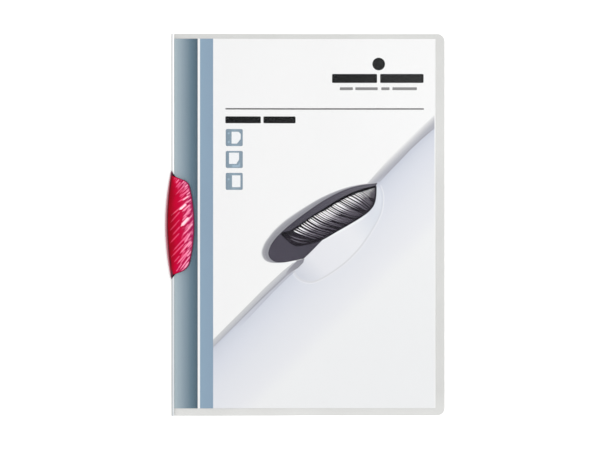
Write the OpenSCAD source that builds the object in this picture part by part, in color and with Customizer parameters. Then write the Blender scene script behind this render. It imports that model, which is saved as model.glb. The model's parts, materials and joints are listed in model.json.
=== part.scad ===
// A4 clip folder with a swing-out clip on its spine.
// The folder lies face up: X across the page, Y up the page, Z up from the table.
// The origin is the middle of the footprint, on the table. u is the distance from the spine fold.

/* [Folder] */
// Height of the folder sheets, along the spine
sheet_h = 307; // [302:1:320]
// Width from the spine fold to the open edge
sheet_w = 220; // [216:0.5:235]
// Corner radius at the open edge
corner_r = 6; // [3:0.5:10]
// Thickness of the milky back cover
back_t = 0.4; // [0.3:0.05:0.6]
// Thickness of the clear front film
film_t = 0.3; // [0.2:0.05:0.4]
// Distance from the spine fold to the crease that the front cover opens on
crease_u = 22.3; // [22:0.1:26]
// Width of the thinned film at the crease
crease_w = 1.4; // [1.4:0.1:2]

/* [Insert sheet] */
// Width of the paper
page_w = 210; // [200:1:212]
// Height of the paper
page_h = 297; // [280:1:298]
// Thickness of the paper
page_t = 0.2; // [0.1:0.05:0.3]
// Gap between the spine fold and the paper's edge
page_u = 2.6; // [2:0.1:4]
// How far the paper sits above the middle of the folder
page_rise = 1; // [0:0.5:2]

/* [Clip] */
// How far the clip bulges past the spine fold
bulge = 4.6; // [4:0.1:6]
// Reach of the front jaw over the folder
jaw_reach = 18.5; // [16:0.1:19]
// Distance from the clip's middle to the straight upper end of the front jaw
jaw_end = 37.2; // [34:0.1:40]
// How much farther the straight lower end is
low_more = 1.1; // [0:0.1:2]
// Slope of the jaw's straight ends
end_slope = 21.5; // [15:0.5:25]
// Radius of the long inner edge of the jaw
side_r = 133; // [110:1:160]
// Radius of the jaw's upper corner
top_corner_r = 8; // [5:0.5:10]
// Radius of the jaw's lower corner
low_corner_r = 11; // [8:0.5:14]
// Thickness of the rear jaw
rear_t = 1.6; // [1.2:0.1:2]
// Height of the front jaw's crown above its underside
crown_h = 4.5; // [4:0.1:4.8]
// Wall of the front jaw
wall = 1.3; // [1:0.1:1.5]
// Thickness of the smooth rim under the ribbed front jaw
rim_t = 0.6; // [0.4:0.1:0.8]
// How far the rim shows round the front jaw
rim_lip = 0.5; // [0.2:0.05:0.6]

/* [Pivot] */
// Distance from the spine fold to the pivot
pivot_u = 4.2; // [4:0.1:5]
// Distance from the clip's middle to the pivot
pivot_y = 36; // [35:0.1:36.5]
// Radius of the rivet's shank
shank_r = 1.4; // [1.2:0.05:1.5]

/* [Hidden] */
$fn = 48;

spine_x = (bulge - sheet_w) / 2;
slide_gap = 0.2;                                 // between a jaw and the film that it slides on
sheet_gap = 0.1;                                 // between the loose sheets

// Levels in the clip's throat, from the table up
back_z = rear_t + slide_gap;
eyelet_t = 0.1;
head_z = back_z + back_t + eyelet_t + 0.03;
head_t = 0.19;
page_z = head_z + head_t + 0.03;
flap_z = page_z + page_t + sheet_gap;
jaw_z = flap_z + film_t + slide_gap;

// Right of the clip the sheets sink to the table in one long soft curve
sag_from = 28;
sag_to = 120;
sag_steps = 12;
back_drop = back_z;
page_drop = page_z - back_t - sheet_gap;

// Plan outlines of the jaws
rear_end = jaw_end + 2.3;
rear_reach = jaw_reach + 0.7;
front_bulge = bulge - 1;
web_gap = 0.3;
web_top = pivot_y - (pivot_u + web_gap) - 0.8;   // clears the fold over the whole swing

// The front jaw's crown is curved both ways
crown_u = 6.5;
crown_r = 26;
crown_long_r = 270;

function ease(t) = t <= 0 ? 0 : t >= 1 ? 1 : t * t * (3 - 2 * t);
function sag(u) = ease((u - sag_from) / (sag_to - sag_from));
function sag_stops(u0, u1) = concat(
    u0 < sag_from ? [u0] : [],
    [for (i = [0 : sag_steps]) sag_from + (sag_to - sag_from) * i / sag_steps],
    [u1]
);
function arc(c, r, a0, a1, n) = [
    for (i = [0 : n]) let (a = a0 + (a1 - a0) * i / n) c + r * [cos(a), sin(a)]
];
function flip(points) = [for (i = [len(points) - 1 : -1 : 0]) [points[i][0], -points[i][1]]];

// Half of a jaw's inner edge, from the tip on the spine down to the middle of the long side
function jaw_half(reach, end, corner_r) =
    let (
        side = [reach - side_r, 0],
        normal = [sin(end_slope), cos(end_slope)],
        along = [cos(end_slope), -sin(end_slope)],
        q = normal * (end - corner_r) - side,
        t = -q * along + sqrt(pow(q * along, 2) - q * q + pow(side_r - corner_r, 2)),
        corner = side + q + along * t,
        side_a = atan2(corner[1], corner[0] - side[0])
    )
    concat(
        [[0, end / cos(end_slope)]],
        arc(corner, corner_r, 90 - end_slope, side_a, 8),
        arc(side, side_r, side_a * 0.8, 0, 4)
    );

// The outer edge, an arc through both tips, from the lower one up
function bulge_arc(out, top, low, n) =
    let (half = (top + low) / 2, r = (half * half + out * out) / (2 * out), a = asin(half / r))
    arc([r - out, (top - low) / 2], r, 180 + a, 180 - a, n);

function inner(points) = [for (i = [1 : len(points) - 2]) points[i]];

module jaw_outline(reach, end, out) {
    half = jaw_half(reach, end, top_corner_r);
    under = flip(jaw_half(reach, end + low_more, low_corner_r));
    below = [for (i = [1 : len(under) - 1]) under[i]];
    left = bulge_arc(out, end / cos(end_slope), (end + low_more) / cos(end_slope), 16);
    polygon(concat(half, below, inner(left)));
}

module at_spine() {
    translate([spine_x, 0, 0]) children();
}

module at_pivot(z) {
    at_spine() translate([pivot_u, pivot_y, z]) children();
}

// A sheet from u0 to u1 whose underside starts at height z and sinks by drop
module sheet_profile(u0, u1, z, drop, t, h) {
    stops = sag_stops(u0, u1);
    below = [for (u = stops) [u, z - drop * sag(u)]];
    above = [for (i = [len(stops) - 1 : -1 : 0]) below[i] + [0, t]];
    rotate([90, 0, 0]) linear_extrude(h, center = true) polygon(concat(below, above));
}

// Plan of a cover with its two open corners rounded
module open_corners(u0) {
    translate([u0, -sheet_h / 2]) square([sheet_w - corner_r - u0, sheet_h]);
    translate([sheet_w - corner_r, corner_r - sheet_h / 2]) square([corner_r, sheet_h - 2 * corner_r]);
    for (side = [-1, 1])
        translate([sheet_w - corner_r, side * (sheet_h / 2 - corner_r)]) circle(corner_r);
}

module cover_sheet(u0, z, drop, t) {
    intersection() {
        sheet_profile(u0, sheet_w, z, drop, t, sheet_h);
        translate([0, 0, -1]) linear_extrude(jaw_z + 2) open_corners(u0);
    }
}

fold_r = (flap_z + film_t - back_z) / 2;         // outside radius of the spine fold
fold_bore_r = (flap_z - back_z - back_t) / 2;
eyelet_r = shank_r + 0.35;
eyelet_flange_r = 2.9;

module back_cover() {
    color("gainsboro") at_spine() difference() {
        cover_sheet(fold_r, back_z, back_drop, back_t);
        translate([pivot_u, pivot_y, back_z - 1]) cylinder(r = eyelet_r, h = back_t + 2);
    }
}

module spine_fold() {
    color("white") at_spine() rotate([90, 0, 0]) linear_extrude(sheet_h, center = true)
        difference() {
            translate([fold_r, back_z + fold_r]) circle(fold_r);
            translate([fold_r, back_z + back_t + fold_bore_r]) circle(fold_bore_r);
            translate([fold_r, back_z - 1]) square([fold_r + 1, 2 * fold_r + 2]);
        }
}

// The bright welded line beside the fold
module spine_weld() {
    weld_u = 0.7;
    weld_w = 1.8;
    weld_t = 0.08;
    color("white") at_spine() translate([weld_u, -sheet_h / 2, flap_z + film_t])
        cube([weld_w, sheet_h, weld_t]);
}

// The strip of front film under the clip, with a shallow line pressed round the jaw's place
module front_flap() {
    line_w = 0.8;
    line_depth = 0.08;
    color("whitesmoke") at_spine() difference() {
        translate([fold_r, -sheet_h / 2, flap_z])
            cube([crease_u - crease_w / 2 - fold_r, sheet_h, film_t]);
        translate([0, 0, flap_z + film_t - line_depth]) linear_extrude(1)
            intersection() {
                difference() {
                    jaw_outline(jaw_reach + line_w / 2, jaw_end + line_w / 2, front_bulge);
                    jaw_outline(jaw_reach - line_w / 2, jaw_end - line_w / 2, front_bulge);
                }
                translate([1.5, -sheet_h / 2]) square([sheet_w, sheet_h]);
            }
    }
}

module cover_crease() {
    thin = 0.12;
    color("white") at_spine()
        translate([crease_u - crease_w / 2, -sheet_h / 2, flap_z + (film_t - thin) / 2])
            cube([crease_w - 0.2, sheet_h, thin]);
}

module front_cover() {
    color("whitesmoke") at_spine()
        cover_sheet(crease_u + crease_w / 2, flap_z, page_drop, film_t);
}

module insert_sheet() {
    color("white") at_spine() translate([0, page_rise, 0])
        sheet_profile(page_u, page_u + page_w, page_z, page_drop, page_t, page_h);
}

// A tube through the back cover with a thin flange on each face
module pivot_eyelet() {
    color("silver") at_pivot(0) difference() {
        union() {
            translate([0, 0, back_z]) cylinder(r = eyelet_r, h = back_t);
            for (z = [back_z - eyelet_t, back_z + back_t])
                translate([0, 0, z]) cylinder(r = eyelet_flange_r, h = eyelet_t);
        }
        cylinder(r = shank_r + 0.05, h = jaw_z);
    }
}

washer_r = 2.6;
washer_z = 0.3;
washer_t = 0.6;

module rear_jaw() {
    color("firebrick") difference() {
        at_spine() linear_extrude(rear_t) jaw_outline(rear_reach, rear_end, bulge);
        at_pivot(-1) cylinder(r = shank_r, h = rear_t + 2);
        at_pivot(-1) cylinder(r = washer_r, h = washer_z + washer_t + 1);
    }
}

// The crescent wall that joins the jaws outside the spine fold
module jaw_web() {
    color("firebrick") at_spine() translate([0, 0, rear_t]) linear_extrude(jaw_z - rear_t)
        intersection() {
            jaw_outline(rear_reach, rear_end, bulge);
            translate([-bulge - 1, -rear_end * 2]) square([bulge + 1 - web_gap, rear_end * 2 + web_top]);
        }
}

module crown(inset) {
    at_spine() translate([crown_u, 0, jaw_z + crown_h - crown_long_r]) rotate([0, 90, 0])
        rotate([0, 0, 168]) rotate_extrude(angle = 24, $fn = 360)
            translate([crown_long_r - crown_r, 0]) circle(crown_r - inset, $fn = 180);
}

// The rim's outer crescent, with a blunt point beyond each end of the jaw
module rim_crescent() {
    top = 42.9;
    low = 43.3;
    inner_u = 1.7;
    polygon(concat(
        bulge_arc(bulge, top, low, 16),
        [[0.5, top + 0.3], [1.1, top + 0.2], [inner_u, top - 0.6], [inner_u, 6 - low], [1, 0.8 - low], [0.5, -low - 0.2]]
    ));
}

// Smooth frame that the ribbed jaw stands on, its edge showing all round
module jaw_rim() {
    frame_w = 2.2;
    color("maroon") at_spine() translate([0, 0, jaw_z]) linear_extrude(rim_t)
        difference() {
            union() {
                jaw_outline(jaw_reach + rim_lip, jaw_end + rim_lip, bulge);
                rim_crescent();
            }
            intersection() {
                jaw_outline(jaw_reach - frame_w, jaw_end - frame_w, front_bulge);
                translate([0.8, -jaw_end]) square([sheet_w, 2 * jaw_end]);
            }
        }
}

module crowned_jaw(inset) {
    intersection() {
        at_spine() translate([0, 0, jaw_z + rim_t]) linear_extrude(crown_h + 1)
            jaw_outline(jaw_reach - inset, jaw_end - inset, front_bulge);
        crown(inset);
    }
}

press_u = 12.5;
press_w = 2.2;
press_l = 36;
press_h = 0.8;
rib_step = 12;
rib_t = 0.9;

// The hollow under the crown, kept clear of the web and crossed by stiffening ribs
module jaw_hollow() {
    difference() {
        intersection() {
            at_spine() translate([0, 0, jaw_z - 1]) linear_extrude(crown_h)
                intersection() {
                    jaw_outline(jaw_reach - wall, jaw_end - wall, front_bulge);
                    translate([0.8, -jaw_end]) square([sheet_w, 2 * jaw_end]);
                }
            crown(wall);
        }
        for (i = [-2 : 2])
            at_spine() translate([0, i * rib_step - rib_t / 2, jaw_z])
                cube([press_u, rib_t, crown_h]);
        at_spine() translate([press_u, -press_l / 2, jaw_z + press_h]) cube([press_w, press_l, crown_h]);
    }
}

module front_jaw() {
    color("crimson") difference() {
        crowned_jaw(0);
        jaw_hollow();
    }
}

// Strip under the jaw's long rib that presses the papers
module clamp_rib() {
    color("dimgray") at_spine() translate([press_u, -press_l / 2, jaw_z]) cube([press_w, press_l, press_h]);
}

// Flat head inside the folder, shank through the eyelet and the rear jaw
module pivot_rivet() {
    color("silver") at_pivot(0) {
        translate([0, 0, head_z]) cylinder(r = eyelet_flange_r, h = head_t);
        translate([0, 0, washer_z]) cylinder(r = shank_r, h = head_z - washer_z);
    }
}

module rivet_washer() {
    color("silver") at_pivot(washer_z) difference() {
        cylinder(r = washer_r - 0.1, h = washer_t);
        translate([0, 0, -1]) cylinder(r = shank_r, h = washer_t + 2);
    }
}

back_cover();
spine_fold();
spine_weld();
front_flap();
cover_crease();
front_cover();
insert_sheet();
pivot_eyelet();
rear_jaw();
jaw_web();
jaw_rim();
front_jaw();
clamp_rib();
pivot_rivet();
rivet_washer();
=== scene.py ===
import json
import math

import bmesh
import bpy
import numpy as np
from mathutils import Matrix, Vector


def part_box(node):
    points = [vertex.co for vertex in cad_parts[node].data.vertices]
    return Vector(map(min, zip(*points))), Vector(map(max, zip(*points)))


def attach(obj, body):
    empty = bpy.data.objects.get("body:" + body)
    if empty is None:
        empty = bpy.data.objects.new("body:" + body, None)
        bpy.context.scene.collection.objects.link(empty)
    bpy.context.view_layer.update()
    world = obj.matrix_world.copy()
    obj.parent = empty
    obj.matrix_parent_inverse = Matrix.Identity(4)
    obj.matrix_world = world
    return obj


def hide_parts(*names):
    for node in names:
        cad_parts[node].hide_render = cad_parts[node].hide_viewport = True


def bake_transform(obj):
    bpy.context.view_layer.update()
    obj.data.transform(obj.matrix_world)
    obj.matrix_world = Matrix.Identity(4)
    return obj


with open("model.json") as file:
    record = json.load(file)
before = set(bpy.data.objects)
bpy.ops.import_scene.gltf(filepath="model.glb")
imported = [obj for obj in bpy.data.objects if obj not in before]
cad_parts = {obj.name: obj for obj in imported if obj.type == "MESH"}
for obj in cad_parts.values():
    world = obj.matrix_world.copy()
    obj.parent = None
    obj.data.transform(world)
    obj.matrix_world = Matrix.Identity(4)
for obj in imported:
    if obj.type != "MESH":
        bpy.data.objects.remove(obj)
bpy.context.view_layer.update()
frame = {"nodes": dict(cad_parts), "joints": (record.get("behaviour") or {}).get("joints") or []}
nodes = frame["nodes"]
joints = {joint["name"]: joint for joint in frame["joints"]}
mm = 0.001

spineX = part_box("spine_fold")[0].x            # the outside of the fold
sheetLow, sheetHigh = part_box("back_cover")
pageLow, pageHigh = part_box("insert_sheet")
flapLow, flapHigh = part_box("front_flap")
coverLow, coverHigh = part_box("front_cover")
jawLow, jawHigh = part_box("front_jaw")
creaseX = joints["cover_fold"]["pos_m"][0]
sagFrom, sagTo = spineX + 28 * mm, spineX + 120 * mm


def linear(code, alpha=1.0):
    parts = [int(code[i:i + 2], 16) / 255 for i in (0, 2, 4)]
    return (*[c / 12.92 if c <= 0.04045 else ((c + 0.055) / 1.055) ** 2.4 for c in parts], alpha)


# links sockets and sets plain values
def plug(tree, node, values):
    for key, value in values.items():
        if isinstance(value, bpy.types.NodeSocket):
            tree.links.new(value, node.inputs[key])
        else:
            node.inputs[key].default_value = value


def addNode(tree, kind, links=None, **settings):
    node = tree.nodes.new(kind)
    for key, value in settings.items():
        setattr(node, key, value)
    plug(tree, node, links or {})
    return node


# a colour ramp of (place, hex colour) stops, driven by one value
def rampColour(tree, value, stops):
    ramp = addNode(tree, "ShaderNodeValToRGB", {"Fac": value})
    line = ramp.color_ramp
    while len(line.elements) < len(stops):
        line.elements.new(1.0)
    for element, (place, colour) in zip(line.elements, stops):
        element.position = place
        element.color = linear(colour)
    return ramp.outputs["Color"]


def noiseValue(tree, vector, scale, detail):
    return addNode(tree, "ShaderNodeTexNoise", {"Vector": vector, "Scale": scale, "Detail": detail}).outputs["Fac"]


def dimmed(tree, colour, factor):
    return addNode(tree, "ShaderNodeVectorMath", {0: colour, "Scale": factor}, operation="SCALE").outputs["Vector"]


def newMaterial(name):
    material = bpy.data.materials.new(name)
    material.use_nodes = True
    tree = material.node_tree
    tree.nodes.clear()
    shader = addNode(tree, "ShaderNodeBsdfPrincipled")
    addNode(tree, "ShaderNodeOutputMaterial", {"Surface": shader.outputs["BSDF"]})
    return material, tree, shader


def sag(x):
    t = np.clip((x - sagFrom) / (sagTo - sagFrom), 0, 1)
    return t * t * (3 - 2 * t)


def meshPiece(name, points, faces, material, smooth=True):
    mesh = bpy.data.meshes.new(name)
    mesh.from_pydata([tuple(p) for p in points], [], faces)
    mesh.materials.append(material)
    if smooth:
        mesh.shade_smooth()
        mesh.set_sharp_from_angle(angle=math.radians(35))
    piece = bpy.data.objects.new(name, mesh)
    bpy.context.scene.collection.objects.link(piece)
    return piece


# closed sheet over the columns xs
def slab(name, xs, lowY, highY, lowZ, highZ, rows, material):
    xs = np.asarray(xs, float)
    n, m = len(xs), rows + 1
    share = np.linspace(0, 1, m)
    y = lowY(xs)[:, None] * (1 - share) + highY(xs)[:, None] * share
    x = np.repeat(xs[:, None], m, 1)
    top = np.stack([x, y, np.repeat(highZ(xs)[:, None], m, 1)], 2).reshape(-1, 3)
    under = np.stack([x, y, np.repeat(lowZ(xs)[:, None], m, 1)], 2).reshape(-1, 3)
    base = n * m
    at = lambda i, j: i * m + j
    faces = []
    for i in range(n - 1):
        for j in range(m - 1):
            a, b, c, d = at(i, j), at(i + 1, j), at(i + 1, j + 1), at(i, j + 1)
            faces.append((a, b, c, d))
            faces.append((base + d, base + c, base + b, base + a))
        faces.append((at(i, 0), base + at(i, 0), base + at(i + 1, 0), at(i + 1, 0)))
        faces.append((at(i + 1, m - 1), base + at(i + 1, m - 1), base + at(i, m - 1), at(i, m - 1)))
    for j in range(m - 1):
        faces.append((at(0, j), at(0, j + 1), base + at(0, j + 1), base + at(0, j)))
        faces.append((at(n - 1, j + 1), at(n - 1, j), base + at(n - 1, j), base + at(n - 1, j + 1)))
    return meshPiece(name, np.vstack([top, under]), faces, material)


def restPlaceMap(piece):
    uv = piece.data.uv_layers.new(name="restPlace")
    for loop in piece.data.loops:
        co = piece.data.vertices[loop.vertex_index].co
        uv.data[loop.index].uv = ((co.x - spineX) * 4, (co.y - sheetLow.y) * 3)


def dress(node, material):
    nodes[node].data.materials.clear()
    nodes[node].data.materials.append(material)


# Clear cast polypropylene: almost unseen face on, with a soft broken gloss at a slant
def clearFilm():
    look = {"tint": "303436", "roughness": 0.16, "alpha": 0.06, "grain": 0.9 * mm}
    material, tree, shader = newMaterial("clearPolypropylene")
    place = addNode(tree, "ShaderNodeUVMap", uv_map="restPlace")
    wide = noiseValue(tree, place.outputs["UV"], 9.0, 2.0)
    fine = noiseValue(tree, place.outputs["UV"], 0.25 / look["grain"], 1.0)
    gloss = addNode(tree, "ShaderNodeMapRange", {"Value": wide, "To Min": look["roughness"] - 0.05,
                                                 "To Max": look["roughness"] + 0.12})
    bump = addNode(tree, "ShaderNodeBump", {"Height": fine, "Strength": 0.12,
                                            "Distance": 0.02 * mm})
    tint = rampColour(tree, wide, [(0.3, look["tint"]), (0.7, "3C4042")])
    plug(tree, shader, {"Base Color": tint, "Roughness": gloss.outputs["Result"], "Normal": bump.outputs["Normal"],
                        "IOR": 1.49, "Alpha": look["alpha"]})
    return material


# Milky polypropylene with a fine matt emboss: lets a little light through, no sharp reflections, painted light makes it
# palest low down
def milkyFilm(name, light, dark, alpha):
    look = {"roughness": 0.48, "emboss": 0.7 * mm, "paintedLightLowDown": 1.1}
    material, tree, shader = newMaterial(name)
    place = addNode(tree, "ShaderNodeTexCoord")
    cloud = noiseValue(tree, place.outputs["Object"], 22.0, 3.0)
    grain = addNode(tree, "ShaderNodeTexVoronoi", {"Vector": place.outputs["Object"], "Scale": 1 / look["emboss"]})
    tint = rampColour(tree, cloud, [(0.3, dark), (0.7, light)])
    bump = addNode(tree, "ShaderNodeBump", {"Height": grain.outputs["Distance"], "Strength": 0.2,
                                            "Distance": 0.03 * mm})
    apart = addNode(tree, "ShaderNodeSeparateXYZ", {0: place.outputs["Object"]})
    # painted light: brighter towards the lower edge
    paintedLight = addNode(tree, "ShaderNodeMapRange", {"Value": apart.outputs["Y"], "From Min": sheetLow.y + 20 * mm,
                                                "From Max": sheetLow.y + 5 * mm, "To Min": 1.0,
                                                "To Max": look["paintedLightLowDown"]})
    tone = dimmed(tree, tint, paintedLight.outputs["Result"])
    plug(tree, shader, {"Base Color": tone, "Normal": bump.outputs["Normal"], "Roughness": look["roughness"],
                        "IOR": 1.49, "Alpha": alpha})
    return material


clearLook = clearFilm()
milkyLook = milkyFilm("milkyPolypropylene", "E2E2E0", "DCDCDA", 0.93)
foldLook = milkyFilm("foldedPolypropylene", "D9D8D6", "D3D2D0", 0.94)

filmShape = {"cornerRadius": 6 * mm, "creaseHalf": 0.7 * mm, "creaseDepth": 0.09 * mm, "rows": 24}
filmRight = coverHigh.x
filmTop, filmUnder = flapHigh.z, flapLow.z
coverDrop = filmUnder - coverLow.z


def filmEdge(x):
    r = filmShape["cornerRadius"]
    inside = np.clip(x - (filmRight - r), 0, r)
    return sheetHigh.y - r + np.sqrt(r * r - inside * inside)


def creaseGroove(x):
    t = np.clip(1 - np.abs(x - creaseX) / filmShape["creaseHalf"], 0, 1)
    return filmShape["creaseDepth"] * t * t * (3 - 2 * t)


r = filmShape["cornerRadius"]
columns = np.concatenate([
    np.linspace(flapLow.x, creaseX - 1.2 * mm, 12),
    np.linspace(creaseX - 1.0 * mm, creaseX + 1.0 * mm, 21),
    np.linspace(creaseX + 1.2 * mm, filmRight - r, 90),
    filmRight - r + r * np.sin(np.linspace(0, math.pi / 2, 13))[1:],
])
frontFilm = slab("frontFilm", columns, lambda x: -filmEdge(x), filmEdge,
                 lambda x: filmUnder - coverDrop * sag(x) + creaseGroove(x),
                 lambda x: filmTop - coverDrop * sag(x) - creaseGroove(x), filmShape["rows"], clearLook)
restPlaceMap(frontFilm)
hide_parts("front_flap", "cover_crease", "front_cover")
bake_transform(frontFilm)
dress("back_cover", milkyLook)
dress("spine_fold", foldLook)


# Film where it is welded: greyer on the slope up from the fold, a painted white highlight on the crest
def weldLook():
    look = {"slope": "D2D4D6", "crest": "FEFFFF", "turn": 0.56, "grey": "D3D7DA", "roughness": 0.35}
    low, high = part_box("spine_weld")
    material, tree, shader = newMaterial("weldedPolypropylene")
    place = addNode(tree, "ShaderNodeTexCoord")
    crestWobble = noiseValue(tree, place.outputs["Object"], 60.0, 2.0)
    across = addNode(tree, "ShaderNodeSeparateXYZ", {0: place.outputs["Object"]})
    share = addNode(tree, "ShaderNodeMapRange", {"Value": across.outputs["X"], "From Min": low.x, "From Max": high.x})
    wander = addNode(tree, "ShaderNodeMapRange", {"Value": crestWobble, "To Min": -0.12, "To Max": 0.12})
    height = addNode(tree, "ShaderNodeMath", {0: share.outputs["Result"], 1: wander.outputs["Result"]}, operation="ADD")
    # painted highlight: white on the crest, its edge wandering with the noise
    tint = rampColour(tree, height.outputs["Value"],
                      [(look["turn"] - 0.1, look["slope"]), (look["turn"] + 0.1, look["crest"])])
    down = addNode(tree, "ShaderNodeMapRange", {"Value": across.outputs["Y"], "From Min": 0.06, "From Max": -0.05,
                                                "To Max": 0.85})
    tone = addNode(tree, "ShaderNodeMix", {"Factor": down.outputs["Result"], "B": linear(look["grey"])},
                   data_type="RGBA", blend_type="MULTIPLY")
    tree.links.new(tint, tone.inputs["A"])
    plug(tree, shader, {"Base Color": tone.outputs["Result"], "Roughness": look["roughness"]})
    return material


dress("spine_weld", weldLook())
print("films done")


pageTop = pageHigh.z
pageDrop = pageHigh.z - pageLow.z - 0.2 * mm
pageThick = 0.2 * mm


# Smooth coated paper: near white, faint fibre cloud
def paperLook():
    material, tree, shader = newMaterial("coatedPaper")
    place = addNode(tree, "ShaderNodeTexCoord")
    fibre = noiseValue(tree, place.outputs["Object"], 900.0, 4.0)
    tint = rampColour(tree, fibre, [(0.35, "F6F6F6"), (0.65, "FAFAFA")])
    bump = addNode(tree, "ShaderNodeBump", {"Height": fibre, "Strength": 0.1, "Distance": 0.01 * mm})
    plug(tree, shader, {"Base Color": tint, "Normal": bump.outputs["Normal"], "Roughness": 0.6})
    return material


# Offset ink on coated paper: the stops run along a line given in page millimetres
def ink(name, stops, start=(0, 0), end=(1, 0), roughness=0.5):
    material, tree, shader = newMaterial(name)
    place = addNode(tree, "ShaderNodeTexCoord")
    run = np.subtract(end, start) * [1, -1] * mm
    along = run / (run @ run)
    first = (pageLow.x + start[0] * mm, pageHigh.y - start[1] * mm)
    shift = addNode(tree, "ShaderNodeVectorMath", {0: place.outputs["Object"], 1: (first[0], first[1], 0)},
                    operation="SUBTRACT")
    share = addNode(tree, "ShaderNodeVectorMath", {0: shift.outputs["Vector"], 1: (along[0], along[1], 0)},
                    operation="DOT_PRODUCT")
    ramp = rampColour(tree, share.outputs["Value"], stops)
    speck = noiseValue(tree, place.outputs["Object"], 1400.0, 2.0)
    dots = addNode(tree, "ShaderNodeMapRange", {"Value": speck, "To Min": 0.96, "To Max": 1.04})
    tone = dimmed(tree, ramp, dots.outputs["Result"])
    plug(tree, shader, {"Base Color": tone, "Roughness": roughness, "Specular IOR Level": 0.04})
    return material


def pageZ(x):
    return pageTop - pageDrop * sag(np.asarray(x, float))


sheetColumns = np.concatenate([[pageLow.x], np.linspace(sagFrom, sagTo, 60), [pageHigh.x]])
paper = slab("printedSheet", sheetColumns, lambda x: x * 0 + pageLow.y, lambda x: x * 0 + pageHigh.y,
             lambda x: pageZ(x) - pageThick, pageZ, 4, paperLook())
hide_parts("insert_sheet")
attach(paper, "insert")


inkStep = 0.0075 * mm        # eleven layers stay under the film


# ink areas: outlines in page millimetres, x from the left edge and y down from the top edge
def printed(name, outlines, level, material):
    bm = bmesh.new()
    for outline in outlines:
        corners = [bm.verts.new((pageLow.x + x * mm, pageHigh.y - y * mm, 0)) for x, y in outline]
        bm.faces.new(corners).normal_update()
    bmesh.ops.triangulate(bm, faces=bm.faces[:])
    low, high = min(v.co.x for v in bm.verts), max(v.co.x for v in bm.verts)
    for x in np.linspace(sagFrom, sagTo, 31):
        if low < x < high:
            bmesh.ops.bisect_plane(bm, geom=bm.verts[:] + bm.edges[:] + bm.faces[:], plane_co=(x, 0, 0),
                                   plane_no=(1, 0, 0), dist=1e-7)
    for face in bm.faces:
        face.normal_update()
        if face.normal.z < 0:
            face.normal_flip()
    body = bmesh.ops.extrude_face_region(bm, geom=bm.faces[:])
    raised = {v for v in body["geom"] if isinstance(v, bmesh.types.BMVert)}
    for v in bm.verts:
        v.co.z = float(pageZ(v.co.x)) + (level * inkStep if v in raised else -inkStep)
    bmesh.ops.recalc_face_normals(bm, faces=bm.faces[:])
    mesh = bpy.data.meshes.new(name)
    bm.to_mesh(mesh)
    bm.free()
    mesh.materials.append(material)
    piece = bpy.data.objects.new(name, mesh)
    bpy.context.scene.collection.objects.link(piece)
    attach(piece, "insert")
    return piece


def box(x0, y0, x1, y1, corner=0.0, steps=5):
    if not corner:
        return [(x0, y0), (x1, y0), (x1, y1), (x0, y1)]
    points = []
    for cx, cy, turn in ((x1 - corner, y0 + corner, -90), (x1 - corner, y1 - corner, 0),
                         (x0 + corner, y1 - corner, 90), (x0 + corner, y0 + corner, 180)):
        for i in range(steps + 1):
            a = math.radians(turn + 90 * i / steps)
            points.append((cx + corner * math.cos(a), cy + corner * math.sin(a)))
    return points


# smooth line through the points
def curve(points, closed=True, steps=8):
    p = [np.array(q, float) for q in points]
    n = len(p)
    out = []
    for i in range(n if closed else n - 1):
        a, b, c, d = (p[(i - 1) % n], p[i], p[(i + 1) % n], p[(i + 2) % n]) if closed else (
            p[max(i - 1, 0)], p[i], p[i + 1], p[min(i + 2, n - 1)])
        for k in range(steps):
            t = k / steps
            out.append(tuple(0.5 * (2 * b + (c - a) * t + (2 * a - 5 * b + 4 * c - d) * t * t
                                    + (3 * b - a - 3 * c + d) * t ** 3)))
    if not closed:
        out.append(tuple(p[-1]))
    return out


# outline of a band along the points
def ribbon(points, widths):
    p = np.array(points, float)
    d = np.gradient(p, axis=0)
    d /= np.linalg.norm(d, axis=1)[:, None]
    side = np.stack([-d[:, 1], d[:, 0]], 1) * (np.asarray(widths, float) / 2)[:, None]
    left, right = p + side, p - side
    return [tuple(q) for q in left] + [tuple(q) for q in right[::-1]]


height = (pageHigh.y - pageLow.y) / mm
layout = {"slate": (0, 18.8), "blue": (20.7, 31.2), "icons": [(41.3, 72.6), (41.3, 90.2), (41.3, 107.8)], "icon": 13.7}
printed("slateBand", [box(layout["slate"][0], 0, layout["slate"][1], height)], 1,
        ink("slateInk", [(0.0, "B3C2C9"), (0.3, "98A9B4"), (0.75, "647C8B"), (1.0, "526673")], (0, 0), (18.8, 0)))
printed("blueBand", [box(layout["blue"][0], 0, layout["blue"][1], height)], 1,
        ink("blueInk", [(0.0, "92ABC0"), (1.0, "90A7BC")], (20.7, 0), (31.2, 0)))
paperWhite = ink("whiteInk", [(0, "FAFBFC"), (1, "F6F8FA")])
blackInk = ink("blackInk", [(0, "0C0C0D"), (1, "101011")])
greyInk = ink("greyInk", [(0, "868687"), (1, "8C8C8C")])
printed("rule", [box(41.1, 55.8, 200.6, 56.9)], 2, ink("ruleInk", [(0, "5A5A5A"), (1, "626262")]))
printed("titleBars", [box(41.0, 62.4, 69.5, 67.9, 0.8), box(71.6, 62.4, 97.4, 67.9, 0.8)], 2, blackInk)
printed("headBars", [box(126.8, 28.2, 163.0, 35.4, 0.9), box(165.5, 28.2, 200.4, 35.4, 0.9)], 2, blackInk)
printed("headDisc", [[(164.3 + 5.1 * math.cos(math.radians(i * 10)), 20.2 + 5.1 * math.sin(math.radians(i * 10)))
                      for i in range(36)]], 2, blackInk)
printed("tagBars", [box(x, 38.9, x + w, 41.2, 0.4) for x, w in ((133, 10.5), (145.5, 18), (166.4, 6.6), (175.4, 19.6))],
        2, greyInk)

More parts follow.
